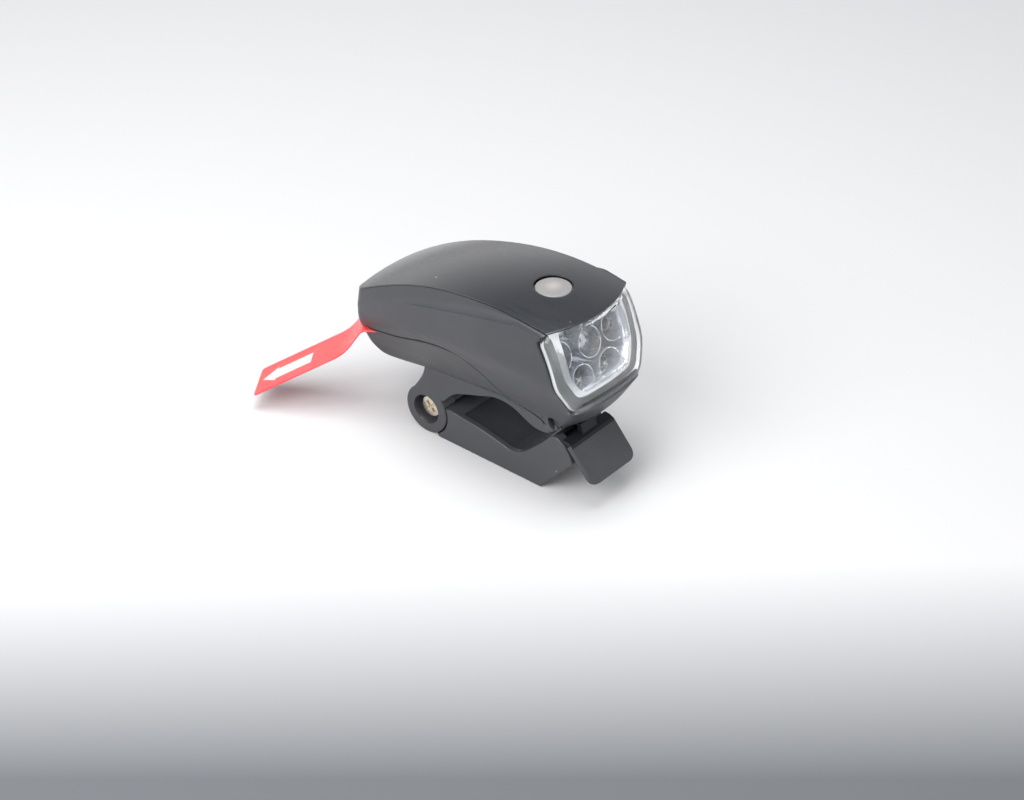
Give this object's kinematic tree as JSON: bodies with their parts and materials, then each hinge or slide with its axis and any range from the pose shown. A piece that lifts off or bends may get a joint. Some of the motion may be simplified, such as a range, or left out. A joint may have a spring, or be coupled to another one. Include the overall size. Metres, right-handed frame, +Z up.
{
  "type": "bicycle headlight",
  "caption": "Battery bicycle headlight with a domed clear lens over a cupped reflector, a top button, a red battery pull tab and a hinged handlebar clamp with a release lever.",
  "frame": {"origin": "middle of the clamp's jaw, on the axis of the handlebar it is made to hold", "axes": "+X forward along the beam, +Y to the rider's left along the handlebar, +Z up"},
  "size_m": [0.117, 0.0544, 0.0614],
  "materials": {
    "shell_black": "satin moulded black-grey",
    "lever_black": "fine spark-textured moulding",
    "lens_clear": "clear polished moulding",
    "seal_rubber": "soft, matt",
    "reflector_bright": "bright metallised coat",
    "lamp_clear": "water-clear lamp body",
    "board_green": "solder-masked laminate",
    "switch_black": "moulded",
    "lamp_amber": "small chip lamp",
    "button_grey": "translucent frosted moulding",
    "cell_wrap": "plain wrapped can",
    "carrier_black": "moulded",
    "contact_steel": "nickel-plated strip",
    "fastener_steel": "zinc-plated",
    "tab_red": "thin red film with a plain white arrow",
    "pad_rubber": "soft, matt"
  },
  "bodies": {
    "base": {"lower_housing": "shell_black", "saddle_pad": "pad_rubber", "hinge_screw": "fastener_steel", "hinge_nut": "fastener_steel", "pivot_pin": "fastener_steel"},
    "arm": {"clamp_arm": "shell_black", "arm_pad": "pad_rubber", "lever_pin": "fastener_steel"},
    "lever": {"release_lever": "lever_black"},
    "upper": {"upper_housing": "shell_black", "top_cover": "shell_black", "lens": "lens_clear", "lens_gasket": "seal_rubber", "reflector": "reflector_bright", "leds": "lamp_clear", "led_board": "board_green", "switch_board": "board_green", "tact_switch": "switch_black", "indicator_led": "lamp_amber", "cell_lower": "cell_wrap", "cell_left": "cell_wrap", "cell_right": "cell_wrap", "front_carrier": "carrier_black", "rear_carrier": "carrier_black", "front_contacts": "contact_steel", "rear_contacts": "contact_steel", "contact_springs": "contact_steel", "board_screws": "fastener_steel"},
    "button": {"button_cap": "button_grey"},
    "tab": {"pull_tab": "tab_red"}
  },
  "joints": [
    {"name": "clamp_hinge", "type": "hinge", "parent": "base", "child": "arm", "pos_m": [-0.03, 0, -0.0074], "axis": [0, 1, 0], "range_deg": [0, 70]},
    {"name": "release_latch", "type": "hinge", "parent": "arm", "child": "lever", "pos_m": [0.0184, 0, 0.0006], "axis": [0, 1, 0], "range_deg": [-8, 8], "stiffness_Nm_per_rad": 0.05},
    {"name": "housing_opening", "type": "hinge", "parent": "base", "child": "upper", "pos_m": [0.0183, 0, 0.0091], "axis": [0, 1, 0], "range_deg": [0, 45]},
    {"name": "button_press", "type": "slide", "parent": "upper", "child": "button", "axis": [0, 0, -1], "range_m": [0, 0.0008], "stiffness_N_per_m": 800},
    {"name": "tab_pull", "type": "slide", "parent": "upper", "child": "tab", "axis": [-0.829, -0.5592, 0], "range_m": [0, 0.028]}
  ]
}
